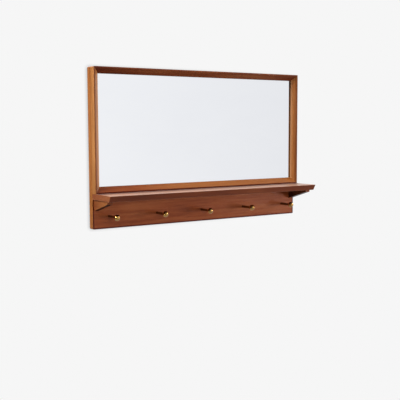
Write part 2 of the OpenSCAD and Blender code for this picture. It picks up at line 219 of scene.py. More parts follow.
def eased_slab(corners, radii, low, high, r):
    """An eased outline carried from low to high, with the edges round both ends eased.

    At each end the outline is drawn in by r (1 - sin t) and stands r (1 - cos t) in from the end,
    for t from 0 at the flat end to 90 degrees on the side. A point is (place from low to high, the
    outline's two coordinates).
    """
    outline, normals, worn_and_lit = eased_outline(corners, radii)
    t = np.linspace(0, np.pi / 2, ARC_STEPS + 1)
    inset = r * (1 - np.sin(t))
    level = r * (1 - np.cos(t))
    inset = np.concatenate([inset, inset[::-1]])
    level = np.concatenate([low + level, high - level[::-1]])
    # How far the edges round the ends are lightened, partly as wear and partly as a painted
    # highlight
    edge = np.concatenate([np.sin(2 * t), np.sin(2 * t)[::-1]])
    flat = outline[None] - normals[None] * inset[:, None, None]
    place = np.broadcast_to(level[:, None, None], flat.shape[:2] + (1,))
    points = np.concatenate([place, flat], -1).reshape(-1, 3)
    faces = ring_faces(len(level), len(outline), capped=True)
    return points, faces, np.maximum(edge[:, None], worn_and_lit[None])


def turned_form(radii, reaches, at):
    """A turned form whose axis runs from a point straight into the room, from pole to pole.

    Radius r(s) is swept round the axis at the distance d(s) from the point.
    """
    angle = np.linspace(0, 2 * np.pi, TURNED_SIDES, endpoint=False)
    r, d = np.asarray(radii, float)[:, None], np.asarray(reaches, float)[:, None]
    across, up = at[0] + r * np.cos(angle), at[2] + r * np.sin(angle)
    points = np.stack(np.broadcast_arrays(across, at[1] - d, up), -1)
    return points, ring_faces(len(r), TURNED_SIDES)


# ---- Node networks ---------------------------------------------------------------------------

class Network:
    """A node tree with the few calls that the finishes and the studio need."""

    def __init__(self, tree):
        self.tree = tree

    def feed(self, socket, value):
        """Links a socket to another node's output, or gives it a constant."""
        if isinstance(value, bpy.types.NodeSocket):
            self.tree.links.new(value, socket)
        else:
            socket.default_value = value

    def node(self, kind, inputs=None, **settings):
        """A new node of a kind, with its settings and with what its inputs are fed."""
        made = self.tree.nodes.new(kind)
        for key, value in settings.items():
            setattr(made, key, value)
        for key, value in (inputs or {}).items():
            self.feed(made.inputs[key], value)
        return made

    def math(self, operation, a, b=0.0, clamp=False):
        made = self.node("ShaderNodeMath", {0: a, 1: b}, operation=operation, use_clamp=clamp)
        return made.outputs[0]

    def parts(self, vector):
        """A vector's three components."""
        return self.node("ShaderNodeSeparateXYZ", {0: vector}).outputs

    def mix(self, share, a, b, blend="MIX"):
        made = self.node("ShaderNodeMix", {0: share, 6: a, 7: b},
                         data_type="RGBA", blend_type=blend)
        return made.outputs[2]

    def mix_vectors(self, share, a, b):
        made = self.node("ShaderNodeMix", {0: share, 4: a, 5: b}, data_type="VECTOR")
        return made.outputs[1]

    def mix_shaders(self, share, a, b):
        return self.node("ShaderNodeMixShader", {0: share, 1: a, 2: b}).outputs[0]

    def placed(self, coords, offset, turn):
        """Coordinates moved by an offset and turned along a grain."""
        return self.node("ShaderNodeMapping", {0: coords, 1: offset, 2: turn}).outputs[0]

    def noise(self, coords, features, detail=2.0, roughness=0.5, distortion=0.0):
        """Noise with so many features per metre on each axis of the coordinates."""
        spread_out = self.node("ShaderNodeMapping", {0: coords, 3: features}).outputs[0]
        made = self.node("ShaderNodeTexNoise",
                         {"Vector": spread_out, "Scale": 1.0, "Detail": detail,
                          "Roughness": roughness, "Distortion": distortion})
        return made.outputs[0]

    def spread(self, value, low, high, to_low=0.0, to_high=1.0):
        """The value's range from low to high taken to another range, and held at its limits."""
        made = self.node("ShaderNodeMapRange", {0: value, 1: low, 2: high, 3: to_low, 4: to_high})
        return made.outputs[0]

    def vary(self, noise, low=0.0, high=1.0):
        """Noise, most of which lies between 0.3 and 0.7, spread from low to high."""
        return self.spread(noise, 0.3, 0.7, low, high)

    def ramp(self, value, stops):
        """The colour for a value, between stops of (value, colour)."""
        made = self.node("ShaderNodeValToRGB", {0: value})
        elements = made.color_ramp.elements
        while len(elements) < len(stops):
            elements.new(0.5)
        for element, (place, colour) in zip(elements, stops):
            element.position = place
            element.color = colour
        return made.outputs[0]


class Finish(Network):
    """A material, whose network feeds one shader."""

    def __init__(self, name):
        self.material = bpy.data.materials.new(name)
        self.material.use_nodes = True
        super().__init__(self.material.node_tree)
        self.shader = self.tree.nodes["Principled BSDF"]

    def surface(self, values):
        """Feeds the shader's inputs of the given names."""
        for name, value in values.items():
            self.feed(self.shader.inputs[name], value)

    def bump(self, relief, height):
        """Relief of (strength, depth) from a height that runs from 0 to 1."""
        strength, depth = relief
        made = self.node("ShaderNodeBump",
                         {"Strength": strength, "Distance": depth, "Height": height})
        self.surface({"Normal": made.outputs[0]})


def rgb(code):
    """An sRGB hex colour as linear values."""
    v = np.array([int(code[i:i + 2], 16) for i in (1, 3, 5)]) / 255
    linear = np.where(v <= 0.04045, v / 12.92, ((v + 0.055) / 1.055) ** 2.4)
    return (*[float(c) for c in linear], 1.0)


# ---- Finishes --------------------------------------------------------------------------------

# Turns that lay the grain along each axis
ALONG_X = (0.0, 0.0, 0.0)
ALONG_Y = (0.0, 0.0, math.radians(-90))
ALONG_Z = (0.0, math.radians(90), 0.0)

# How fine each pattern is, in features per metre: along the grain, and across it both ways
RING_FIELD = (1.1, 11.0, 11.0)
BROAD_BANDS = (2.6, 16.0, 16.0)
STREAKS = (6.0, 150.0, 150.0)
FIBRES = (28.0, 1500.0, 1500.0)
PORES = (55.0, 2400.0, 2400.0)
WIPES = (9.0, 60.0, 60.0)
DRY_FIBRES = (40.0, 1600.0, 1600.0)
DRY_FLECKS = (160.0, 1200.0, 1200.0)

# The same, in features per metre on X, Y and Z
WEAR_AND_HIGHLIGHT_PATCHES = (60.0, 60.0, 60.0)
END_RAYS = (900.0, 900.0, 900.0)
END_BANDS = (20.0, 120.0, 420.0)
BRASS_FILM = (90.0, 90.0, 90.0)
TURNING_MARKS = (6.0, 2600.0, 6.0)
GLASS_HAZE = (3.0, 1.0, 9.0)
ZINC_SPANGLE = (260.0, 260.0, 260.0)
SCREW_LINES = (90.0, 90.0, 90.0)
PLATE_LINES = (2200.0, 60.0, 60.0)
FOAM_CELLS = 1800.0

# The parts of a wood's tone (RING_ANGLE is the angle in radians that the rings' sine turns through
# as their field goes from 0 to 1), where its dark, middle and light stain lie, and how far fibres
# change a stained colour and the colour of painted light
RING_ANGLE = 70.0
RING_SHARE, BROAD_SHARE, STREAK_SHARE = 0.045, 1.1, 0.9
TONE_STOPS = (0.18, 0.5, 0.82)
STAINED_FIBRES, LIT_FIBRES = (0.86, 1.12), (0.8, 1.1)

# How far a normal leans along an axis on the faces that look that way. INWARDS is its lean along X
# times the place on X in metres, which is below 0 where a face looks towards the middle.
ENDWAYS, BACKWARDS, UPWARDS, DOWNWARDS, INWARDS, FACING = 0.7, 0.7, 0.9, -0.7, -0.2, 0.6

# How far each colour covers the one under it
PORE_SHARE, BACK_SHARE, DARKENED_SHARE, INNER_SHADE_SHARE = 0.45, 0.6, 0.9, 0.88
RAY_SHARE, FLECK_SHARE, TURNED_SHARE, DRAWN_SHARE = 0.5, 0.5, 0.25, 0.3

# Limits of each pattern's noise: what it makes is absent below the first and full above the
# second. The lightening of eased edges, partly wear and partly painted highlight, has the first of
# its shares below the first limit, and the second above the second.
PORE_LIMITS, FLECK_LIMITS, RAY_LIMITS = (0.62, 0.70), (0.6, 0.68), (0.4, 0.8)
FIBRE_LIMITS, BAND_LIMITS, CELL_LIMITS = (0.25, 0.75), (0.35, 0.65), (0.0, 0.6)
FILM_LIMITS, HAZE_LIMITS = (0.35, 0.7), (0.35, 0.75)
WEAR_AND_HIGHLIGHT_LIMITS, WEAR_AND_HIGHLIGHT_SHARES = (0.3, 0.65), (0.35, 0.9)

# Roughness, as one value or a range
SATIN_ROUGH, PORE_ROUGH, DUST_ROUGH, DRY_ROUGH = (0.33, 0.43), 0.15, 0.3, (0.6, 0.72)
BRASS_ROUGH, SILVER_ROUGH, ZINC_ROUGH, FOAM_ROUGH = (0.06, 0.12), (0.004, 0.02), (0.3, 0.42), 0.85
WOOD_GLOSS = 0.15

# Relief, as (strength, depth), and how much fibres stand up beside the pores
WOOD_RELIEF, DRY_RELIEF, FIBRE_HEIGHT = (0.25, 0.12 * MM), (0.3, 0.1 * MM), 0.35
BRASS_RELIEF, FOAM_RELIEF, ZINC_RELIEF = (0.12, 0.05 * MM), (0.4, 0.1 * MM), (0.15, 0.05 * MM)

# Coats, as (weight, index, roughness)
SATIN_COAT, RUBBED_COAT, LACQUER = (0.35, 1.25, 0.12), (0.4, 1.5, 0.35), (0.8, 1.6, 0.03)

# Colours within the finishes. The second of the next three darkens the dark lines, as painted
# shade and on the board also as a dark joint, and the third is painted shade on faces that look
# down or inwards
PORE_STAIN, JOINT_AND_SHADE_DARK, INNER_SHADE = rgb("#2a1208"), rgb("#4c0e01"), rgb("#1c0500")
DUST = rgb("#fff0e6")
TURNED_FILM = rgb("#6d4c1f")
SILVER, HAZED_SILVER = (0.91, 0.925, 0.955, 1.0), (0.895, 0.91, 0.945, 1.0)
CUT_GLASS = rgb("#5d8a78")
FOAM_WALL, FOAM_CELL = rgb("#d9d8d2"), rgb("#c2c0b8")
PALE_ZINC, GREY_ZINC, DRAWN_ZINC = rgb("#c9cac6"), rgb("#a3a59f"), rgb("#8b8a80")


def coated(coat):
    """A coat of (weight, index, roughness) as shader inputs."""
    return dict(zip(("Coat Weight", "Coat IOR", "Coat Roughness"), coat))


def stain(f, tone, tones):
    """The colour of a dark, a middle and a light stain for a tone from 0 to 1."""
    return f.ramp(tone, list(zip(TONE_STOPS, tones)))


def wood_figure(f, coords):
    """The tone, the fibres and the pores of wood, on coordinates that run along its grain.

    All of them are noise stretched along the grain. The tone is a half plus shares of broad bands,
    streaks and growth rings, which are the sine of a slow field and so follow its contour lines.
    The pores are noise above a limit.
    """
    field = f.noise(coords, RING_FIELD, detail=1.5, distortion=0.15)
    rings = f.math("SINE", f.math("MULTIPLY", field, RING_ANGLE))
    broad = f.noise(coords, BROAD_BANDS, detail=3.0, roughness=0.6)
    streaks = f.noise(coords, STREAKS, detail=4.0, roughness=0.65)
    fibres = f.noise(coords, FIBRES, detail=2.0, roughness=0.7)
    pores = f.spread(f.noise(coords, PORES, detail=1.0), *PORE_LIMITS)
    tone = f.math("ADD", f.math("MULTIPLY", f.math("SUBTRACT", broad, 0.5), BROAD_SHARE),
                  f.math("MULTIPLY", f.math("SUBTRACT", streaks, 0.5), STREAK_SHARE))
    tone = f.math("ADD", tone, f.math("MULTIPLY", rings, RING_SHARE))
    return f.math("ADD", tone, 0.5, clamp=True), fibres, pores


def end_grain(f, place, tones):
    """A cut end of wood: bands of two tones, with darker flecks where its rays are cut."""
    rays = f.noise(place, END_RAYS, detail=2.0, roughness=0.7)
    bands = f.noise(place, END_BANDS, detail=2.0)
    cut = f.mix(f.spread(bands, *BAND_LIMITS), *tones)
    return f.mix(f.spread(rays, *RAY_LIMITS, 0.0, RAY_SHARE), cut, PORE_STAIN)


def stained_wood(name, grain, tones, offset, sides=None, above=None, cut_ends=None, back=None,
                 dark_lines=(), painted_inner_shade=False, painted_light=None, faces=1, coat=SATIN_COAT,
                 sheen=0.0):
    """Stained hardwood with a satin coat, and eased edges a little lighter, partly as wear and
    partly as a painted highlight.

    The offset gives each piece a figure of its own, as if it were cut from another place in the
    wood. Faces that look along X can have their own grain direction and tones, as edge banding
    has, or cut ends, and the faces that look up or back their own tones. On the faces that look
    along the axis named by faces, the dark lines are darkened as painted shade, and on the board
    also as a dark joint, and the place of painted light, given with its colour, is paler. When
    painted inner shade is on, faces that look down or inwards are darkened as painted shade.
    """
    f = Finish(name)
    place = f.node("ShaderNodeTexCoord").outputs
    at, normal = f.parts(place["Object"]), f.parts(place["Normal"])
    on_ends = f.math("GREATER_THAN", f.math("ABSOLUTE", normal[0]), ENDWAYS)
    coords = f.placed(place["Object"], offset, grain)
    if sides is not None:
        side_grain, side_tones = sides
        coords = f.mix_vectors(on_ends, coords, f.placed(place["Object"], offset, side_grain))
    tone, fibres, pores = wood_figure(f, coords)

    colour = stain(f, tone, tones)
    if sides is not None:
        colour = f.mix(on_ends, colour, stain(f, tone, side_tones))
    if above is not None:
        on_top = f.math("GREATER_THAN", normal[2], UPWARDS)
        colour = f.mix(on_top, colour, stain(f, tone, above))
    colour = f.mix(1.0, colour, f.spread(fibres, *FIBRE_LIMITS, *STAINED_FIBRES), "MULTIPLY")
    colour = f.mix(f.math("MULTIPLY", pores, PORE_SHARE), colour, PORE_STAIN)
    if cut_ends is not None:
        colour = f.mix(on_ends, colour, end_grain(f, place["Object"], cut_ends))
    if back is not None:
        behind = f.math("GREATER_THAN", normal[1], BACKWARDS)
        colour = f.mix(f.math("MULTIPLY", behind, BACK_SHARE), colour, back)

    facing = f.math("GREATER_THAN", f.math("ABSOLUTE", normal[faces]), FACING)
    # Painted light: paler where light falls or is reflected more, given by place
    if painted_light is not None:
        (axis, start, full, most), pale = painted_light
        along = f.math("ABSOLUTE", at[axis]) if axis else at[axis]
        share = f.math("MULTIPLY", f.spread(along, start, full, 0.0, most), facing)
        pale = f.mix(1.0, pale, f.spread(fibres, *FIBRE_LIMITS, *LIT_FIBRES), "MULTIPLY")
        colour = f.mix(share, colour, pale)
    # Darker lines: painted shade, and on the board also a dark joint at the edging
    if dark_lines:
        darkened = 0.0
        for axis, start, full in dark_lines:
            line = f.spread(f.math("ABSOLUTE", at[axis]), start, full)
            darkened = f.math("MAXIMUM", darkened, line)
        darkened = f.math("MULTIPLY", f.math("MULTIPLY", darkened, facing), DARKENED_SHARE)
        colour = f.mix(darkened, colour, JOINT_AND_SHADE_DARK)
    # Painted shade: faces that look down or towards the middle are darkened
    if painted_inner_shade:
        under = f.math("LESS_THAN", normal[2], DOWNWARDS)
        inner = f.math("LESS_THAN", f.math("MULTIPLY", at[0], normal[0]), INWARDS)
        share = f.math("MULTIPLY", f.math("MAXIMUM", under, inner), INNER_SHADE_SHARE)
        colour = f.mix(share, colour, INNER_SHADE)

    # Eased edges go towards the light tone in patches, partly as wear and partly as a painted
    # highlight on the arrises
    worn_and_lit = f.node("ShaderNodeAttribute", attribute_name="worn_and_lit").outputs["Fac"]
    patches = f.noise(place["Object"], WEAR_AND_HIGHLIGHT_PATCHES, detail=4.0)
    wear_and_highlight = f.math("MULTIPLY", worn_and_lit, f.spread(patches, *WEAR_AND_HIGHLIGHT_LIMITS, *WEAR_AND_HIGHLIGHT_SHARES))
    colour = f.mix(wear_and_highlight, colour, tones[-1])
    satin = f.vary(f.noise(coords, WIPES, detail=4.0), *SATIN_ROUGH)
    roughness = f.math("ADD", satin, f.math("MULTIPLY", pores, PORE_ROUGH))
    f.surface({"Base Color": colour, "Roughness": roughness, "Specular IOR Level": WOOD_GLOSS,
               "Sheen Weight": sheen, "Sheen Roughness": DUST_ROUGH, "Sheen Tint": DUST,
               **coated(coat)})
    f.bump(WOOD_RELIEF, f.math("SUBTRACT", f.math("MULTIPLY", fibres, FIBRE_HEIGHT), pores))
    return f.material


def dry_wood(name, grain, base, dark):
    """Unstained hardwood for the pieces that hold the joints: fibres, flecks and a dry surface."""
    f = Finish(name)
    coords = f.placed(f.node("ShaderNodeTexCoord").outputs["Object"], (0.0, 0.0, 0.0), grain)
    fibres = f.noise(coords, DRY_FIBRES, detail=3.0, roughness=0.7)
    flecks = f.spread(f.noise(coords, DRY_FLECKS, detail=1.0), *FLECK_LIMITS)
    colour = f.mix(f.vary(fibres), base, dark)
    colour = f.mix(f.math("MULTIPLY", flecks, FLECK_SHARE), colour, dark)
    f.surface({"Base Color": colour, "Roughness": f.vary(fibres, *DRY_ROUGH)})
    f.bump(DRY_RELIEF, fibres)
    return f.material


def aged_brass(name, bright, dull):
    """Lacquered brass, a little dulled: fine turning marks and a darker film in patches."""
    f = Finish(name)
    place = f.node("ShaderNodeTexCoord").outputs["Object"]
    film = f.noise(place, BRASS_FILM, detail=5.0, roughness=0.6)
    turning = f.noise(place, TURNING_MARKS, detail=2.0)
    colour = f.mix(f.spread(film, *FILM_LIMITS), bright, dull)
    colour = f.mix(f.vary(turning, 0.0, TURNED_SHARE), colour, TURNED_FILM)
    f.surface({"Base Color": colour, "Metallic": 1.0, "Roughness": f.vary(film, *BRASS_ROUGH),
               **coated(LACQUER)})
    f.bump(BRASS_RELIEF, turning)
    return f.material


def silvered_glass(name):
    """Mirror plate: a cool silver reflection, rougher where it is wiped, and green cut edges."""
    f = Finish(name)
    place = f.node("ShaderNodeTexCoord").outputs
    cut_edge = f.math("LESS_THAN", f.math("ABSOLUTE", f.parts(place["Normal"])[1]), FACING)
    haze = f.noise(place["Object"], GLASS_HAZE, detail=5.0, roughness=0.6, distortion=0.4)
    silver = f.mix(f.vary(haze), SILVER, HAZED_SILVER)
    f.surface({"Base Color": f.mix(cut_edge, silver, CUT_GLASS), "Metallic": 1.0,
               "Roughness": f.spread(haze, *HAZE_LIMITS, *SILVER_ROUGH)})
    return f.material


def foam_tape(name):
    """White foam mounting tape with an open cell texture."""
    f = Finish(name)
    place = f.node("ShaderNodeTexCoord").outputs["Object"]
    cells = f.node("ShaderNodeTexVoronoi", {"Vector": place, "Scale": FOAM_CELLS}).outputs[0]
    f.surface({"Base Color": f.mix(f.spread(cells, *CELL_LIMITS), FOAM_WALL, FOAM_CELL),
               "Roughness": FOAM_ROUGH})
    f.bump(FOAM_RELIEF, cells)
    return f.material


def zinc_plate(name, features):
    """Zinc plated steel: a pale and a grey spangle, with fine drawing lines across it."""
    f = Finish(name)
    place = f.node("ShaderNodeTexCoord").outputs["Object"]
    lines = f.noise(place, features, detail=2.0)
    spangle = f.noise(place, ZINC_SPANGLE, detail=3.0, roughness=0.6)
    colour = f.mix(f.vary(spangle), PALE_ZINC, GREY_ZINC)
    colour = f.mix(f.vary(lines, 0.0, DRAWN_SHARE), colour, DRAWN_ZINC)
    f.surface({"Base Color": colour, "Metallic": 1.0, "Roughness": f.vary(spangle, *ZINC_ROUGH)})
    f.bump(ZINC_RELIEF, lines)
    return f.material


# Stains, as (dark, middle, light), and the single tones of painted light and of the back. The
# top rail's stain is darker and the bottom rail's lighter, as painted shade and painted light on
# one wood, and the shelf's top has lighter tones as painted light
TOP_RAIL_SHADED_STAIN = rgb("#50200c"), rgb("#723517"), rgb("#8b4e2a")
BOTTOM_RAIL_LIT_STAIN = rgb("#6c2a0f"), rgb("#8c431a"), rgb("#a86434")
STILE_STAIN = rgb("#84491f"), rgb("#b06d39"), rgb("#cd8b54")
STILE_SIDE_STAIN = rgb("#7d4921"), rgb("#a06631"), rgb("#bb7d45")
BOARD_STAIN = rgb("#763417"), rgb("#8f4724"), rgb("#a35a32")
BOARD_EDGING_STAIN = rgb("#703a1a"), rgb("#975a2a"), rgb("#b5743c")
SHELF_STAIN = rgb("#5a2208"), rgb("#702f0a"), rgb("#803e18")
SHELF_LIT_TOP = rgb("#78411f"), rgb("#96572f"), rgb("#b67a4c")
BRACKET_STAIN = rgb("#5a2810"), rgb("#74391a"), rgb("#8c4d27")
SHELF_END_TONES = rgb("#8a4826"), rgb("#b06c40")
PALE_TOP, PALE_LIP, PALE_NOSE = rgb("#deaf90"), rgb("#dca678"), rgb("#c8854a")
RAIL_LIT_TONE, BOARD_BACK = rgb("#a8662c"), rgb("#a9805a")

# The board's dark lines are a dark joint at the edging with painted shade at the arris
board_wood = stained_wood("board_wood", ALONG_X, BOARD_STAIN, (0.3, 0.1, 0.2),
                          sides=(ALONG_Z, BOARD_EDGING_STAIN), back=BOARD_BACK,
                          dark_lines=BOARD_LINES)
# The top rail is darker than the bottom rail as painted shade on one wood, and darker towards its
# ends as painted shade; the bottom rail is lighter as painted light, more so to the right, with
# painted shade on its flat front edge
top_rail_shaded_wood = stained_wood("top_rail_shaded_wood", ALONG_X, TOP_RAIL_SHADED_STAIN, (0.6, 0.4, 0.9),
                             dark_lines=RAIL_ENDS)
bottom_rail_lit_wood = stained_wood("bottom_rail_lit_wood", ALONG_X, BOTTOM_RAIL_LIT_STAIN, (1.7, 0.4, 0.9),
                                dark_lines=RAIL_EDGE, painted_light=(RAIL_PAINTED_LIGHT, RAIL_LIT_TONE))
# The stiles have painted shade on their flat front edge and painted light on the bevel by the lip
stile_wood = stained_wood("stile_wood", ALONG_Z, STILE_STAIN, (2.2, 1.1, 0.3),
                          sides=(ALONG_Z, STILE_SIDE_STAIN), dark_lines=STILE_EDGE,
                          painted_light=(STILE_LIP, PALE_LIP), sheen=0.35)
# The shelf's top is lighter as painted light, paler still towards the front as a painted reflection,
# and has painted shade along the frame
shelf_wood = stained_wood("shelf_wood", ALONG_X, SHELF_STAIN, (3.1, 0.2, 1.4),
                          above=SHELF_LIT_TOP, cut_ends=SHELF_END_TONES, dark_lines=SHELF_JOINT,
                          painted_light=(SHELF_FRONT, PALE_TOP), faces=2, coat=RUBBED_COAT, sheen=0.2)
# The brackets have painted shade along the board and on faces that look down or inwards, and a
# painted highlight towards the nose
bracket_wood = stained_wood("bracket_wood", ALONG_Y, BRACKET_STAIN, (0.9, 2.4, 0.6),
                            dark_lines=BRACKET_JOINT, painted_inner_shade=True,
                            painted_light=(BRACKET_NOSE, PALE_NOSE), faces=0)
joint_wood = dry_wood("joint_wood", ALONG_Z, rgb("#cdb083"), rgb("#b08f62"))
brass = aged_brass("brass", rgb("#e2ac54"), rgb("#a27226"))
rod_brass = aged_brass("rod_brass", rgb("#7c6c36"), rgb("#574a22"))
mirror_silver = silvered_glass("mirror_silver")
tape_foam = foam_tape("tape_foam")
screw_zinc = zinc_plate("screw_zinc", SCREW_LINES)
plate_zinc = zinc_plate("plate_zinc", PLATE_LINES)


# ---- Mirror frame ----------------------------------------------------------------------------

def moulding_section():
    """The moulding's section, and how worn each of its points is.

    The moulding's section, and how far each of its points is lightened, partly as wear and partly as
    a painted highlight.
    """
    corners = [(0, 0), (0, FACE_W), (BEVEL_D, MOULDING_W), (FRAME_D - RABBET_D, MOULDING_W),
               (FRAME_D - RABBET_D, MOULDING_W - RABBET_W), (FRAME_D, MOULDING_W - RABBET_W),
               (FRAME_D, 0)]
    radii = [ARRIS_R, ARRIS_R, LIP_R, LIP_R, SEAM_R, SEAM_R, SEAM_R]
    # How far each corner's arc is lightened, partly as wear and partly as a painted highlight
    wear_and_highlight = [0.7, 0.3, 1, 0.6, 0, 0, 0.3]
    points, _, worn_and_lit = eased_outline(corners, radii)
    return points, worn_and_lit * np.repeat(wear_and_highlight, ARC_STEPS + 1)


def mitred_side(name, centre, along, inward, length, rounded, finish):
    """One side of the frame: the section carried along it, mitred at both ends.

    A section point u in from the outer edge runs from -(length / 2 - u) to length / 2 - u, with
    its stations closer together within three corner radii of the ends. At a rounded end, -1 or 1,
    a point nearer than CORNER_R to both outer edges is drawn back to the arc of that radius.
    """
    section, worn_and_lit = moulding_section()
    near = 1 - 3 * CORNER_R / length
    t = np.concatenate([np.linspace(-1, -near, END_STATIONS)[:-1],
                        np.linspace(-near, near, SIDE_STATIONS),
                        np.linspace(near, 1, END_STATIONS)[1:]])[:, None]
    depth, u = section[:, 0], section[:, 1][None]
    s = t * (length / 2 - u)
    u = np.broadcast_to(u, s.shape)
    for end in rounded:
        from_end = length / 2 - end * s
        reach = np.hypot(CORNER_R - from_end, CORNER_R - u)
        corner = (from_end < CORNER_R) & (u < CORNER_R) & (reach > CORNER_R)
        share = np.divide(CORNER_R, reach, out=np.ones_like(reach), where=corner)
        s = np.where(corner, end * (length / 2 - CORNER_R + (CORNER_R - from_end) * share), s)
        u = np.where(corner, CORNER_R - (CORNER_R - u) * share, u)
    points = (np.array(centre) + s[..., None] * np.array(along) + u[..., None] * np.array(inward)
              + depth[:, None] * np.array(INTO_WALL))
    piece(name, points, ring_faces(*s.shape, capped=True), finish, "frame_" + name,
          np.broadcast_to(worn_and_lit, s.shape))


mitred_side("top_rail", (0, FRAME_FRONT, FRAME_TOP), RIGHT, DOWN, 2 * HALF_W, BOTH_ENDS,
            top_rail_shaded_wood)
mitred_side("bottom_rail", (0, FRAME_FRONT, FRAME_BOTTOM), RIGHT, UP, 2 * HALF_W, NO_END,
            bottom_rail_lit_wood)
mitred_side("left_stile", (-HALF_W, FRAME_FRONT, FRAME_MID), UP, RIGHT, FRAME_H, UPPER_END,
            stile_wood)
mitred_side("right_stile", (HALF_W, FRAME_FRONT, FRAME_MID), UP, LEFT, FRAME_H, UPPER_END,
            stile_wood)


# ---- Mirror plate, shelf and brackets --------------------------------------------------------

def mirror_plate():
    """The mirror's silver where the eye sees it: a slab with eased edges.

    Through glass t thick the silver looks t / GLASS_INDEX behind the glass's front.
    """
    low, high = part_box("mirror_glass")
    silver_y = low.y + (high.y - low.y) / GLASS_INDEX
    corners = [(low.x, low.z), (high.x, low.z), (high.x, high.z), (low.x, high.z)]
    points, faces, worn_and_lit = eased_slab(corners, [SEAM_R] * 4, silver_y, high.y, SEAM_R)
    points = points[:, [1, 0, 2]]
    piece("mirror_plate", points, faces, mirror_silver, "mirror_glass", worn_and_lit)


def shelf_board():
    """The shelf: its section, with the front slanting back underneath, carried along X.

    The section's sharp tip stands r (cot(slant / 2) - 1) in front of the arc of radius r that
    eases it, and that arc is what reaches the front of the shelf's box.
    """
    low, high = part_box("shelf")
    slant = math.atan2(high.z - low.z, SHELF_UNDERCUT)
    front = low.y - SHELF_ARRIS_R * (1 / math.tan(slant / 2) - 1)
    corners = [(high.y, low.z), (front + SHELF_UNDERCUT, low.z), (front, high.z), (high.y, high.z)]
    radii = [ARRIS_R, SHELF_ARRIS_R, SHELF_ARRIS_R, ARRIS_R]
    points, faces, worn_and_lit = eased_slab(corners, radii, low.x, high.x, ARRIS_R)
    piece("shelf_top", points, faces, shelf_wood, "shelf", worn_and_lit)


def bracket(node):
    """A bracket: its slanted section carried across its thickness."""
    low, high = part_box(node)
    nose_z = high.z - BRACKET_NOSE_H
    corners = [(high.y, low.z), (low.y, nose_z), (low.y, high.z), (high.y, high.z)]
    points, faces, worn_and_lit = eased_slab(corners, [ARRIS_R] * 4, low.x, high.x, ARRIS_R)
    piece(node + "_eased", points, faces, bracket_wood, node, worn_and_lit)


mirror_plate()
shelf_board()
bracket("bracket_left")
bracket("bracket_right")


# ---- Pegs ------------------------------------------------------------------------------------

def peg(number):
    """A turned rod and its ball, which is returned.

    The rod is a straight cylinder with a small chamfer at the board and an eased end under the
    ball. The ball's radius at angle a from its front pole is R sin a, at R cos a before its
    middle, until it meets the flat that the rod stands against.
    """
    rod_low, rod_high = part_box(f"peg_rod_{number}")
    ball_low, ball_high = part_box(f"peg_ball_{number}")
    x, z = (rod_low.x + rod_high.x) / 2, (rod_low.z + rod_high.z) / 2
    rod_r = (rod_high.z - rod_low.z) / 2
    rod_l = rod_high.y - ball_high.y
    radii = [0, rod_r - ROD_CHAMFER, rod_r, rod_r, rod_r, rod_r - PEG_EASE, 0]
    reaches = [0, 0, ROD_CHAMFER, rod_l / 2, rod_l - PEG_EASE, rod_l, rod_l]
    points, faces = turned_form(radii, reaches, (x, rod_high.y, z))
    piece(f"rod_{number}", points, faces, rod_brass, f"peg_rod_{number}")

    ball_r = (ball_high.z - ball_low.z) / 2
    middle_y = ball_low.y + ball_r
    seat = math.acos(-(ball_high.y - middle_y) / ball_r)
    a = np.linspace(0, seat, BALL_RINGS)
    radii = np.concatenate([ball_r * np.sin(a), [ball_r * math.sin(seat) - PEG_EASE, 0]])
    reaches = np.concatenate([ball_r * np.cos(a), [ball_r * math.cos(seat)] * 2])
    points, faces = turned_form(radii, reaches, (x, middle_y, z))
    return piece(f"ball_{number}", points, faces, brass, f"peg_ball_{number}")


BALLS = [peg(number) for number in PEG_NUMBERS]


# ---- Finishes on the frame's own nodes -------------------------------------------------------

NODE_FINISHES = (
    (board_wood, ["back_board"]),
    (top_rail_shaded_wood, ["frame_top_rail"]),
    (bottom_rail_lit_wood, ["frame_bottom_rail"]),
    (stile_wood, ["frame_left_stile", "frame_right_stile"]),
    (mirror_silver, ["mirror_glass"]),
    (shelf_wood, ["shelf"]),
    (bracket_wood, ["bracket_left", "bracket_right"]),
    (rod_brass, [f"peg_rod_{number}" for number in PEG_NUMBERS]),
    (brass, [f"peg_ball_{number}" for number in PEG_NUMBERS]),
    (tape_foam, ["mirror_tape"]),
    (joint_wood, ["mitre_splines", "bracket_dowels"]),
    (screw_zinc, ["peg_screws", "frame_screws", "shelf_screws", "bracket_screws",
                  "hanger_screws"]),
    (plate_zinc, ["hanger_plate_left", "hanger_plate_right"]),
)
for finish, names in NODE_FINISHES:
    for name in names:
        NODES[name].data.materials.clear()
        NODES[name].data.materials.append(finish)


# ---- Camera ----------------------------------------------------------------------------------

def photo_camera():
    """The fitted camera: it looks to the right of +Y and a little down, and is slightly rolled."""
    ahead = np.array([math.sin(CAMERA_YAW), math.cos(CAMERA_YAW), 0])
    right = np.array([math.cos(CAMERA_YAW), -math.sin(CAMERA_YAW), 0])
    up = np.array(UP, float)
    sight = ahead * math.cos(CAMERA_DOWN) - up * math.sin(CAMERA_DOWN)
    head = up * math.cos(CAMERA_DOWN) + ahead * math.sin(CAMERA_DOWN)
    across = right * math.cos(CAMERA_ROLL) + head * math.sin(CAMERA_ROLL)
    top = head * math.cos(CAMERA_ROLL) - right * math.sin(CAMERA_ROLL)
    turn = Matrix([(across[i], top[i], -sight[i]) for i in range(3)]).to_4x4()
    data = bpy.data.cameras.new("camera")
    data.sensor_width = SENSOR_W
    data.lens = SENSOR_W * FOCAL_IN_WIDTHS
    camera = bpy.data.objects.new("camera", data)
    camera.matrix_world = Matrix.Translation(CAMERA_AT) @ turn
    bpy.context.scene.collection.objects.link(camera)
    bpy.context.scene.camera = camera


photo_camera()


# ---- Studio ----------------------------------------------------------------------------------

WHITE = (1.0, 1.0, 1.0, 1.0)
BACKGROUND = rgb("#f6f6f6")

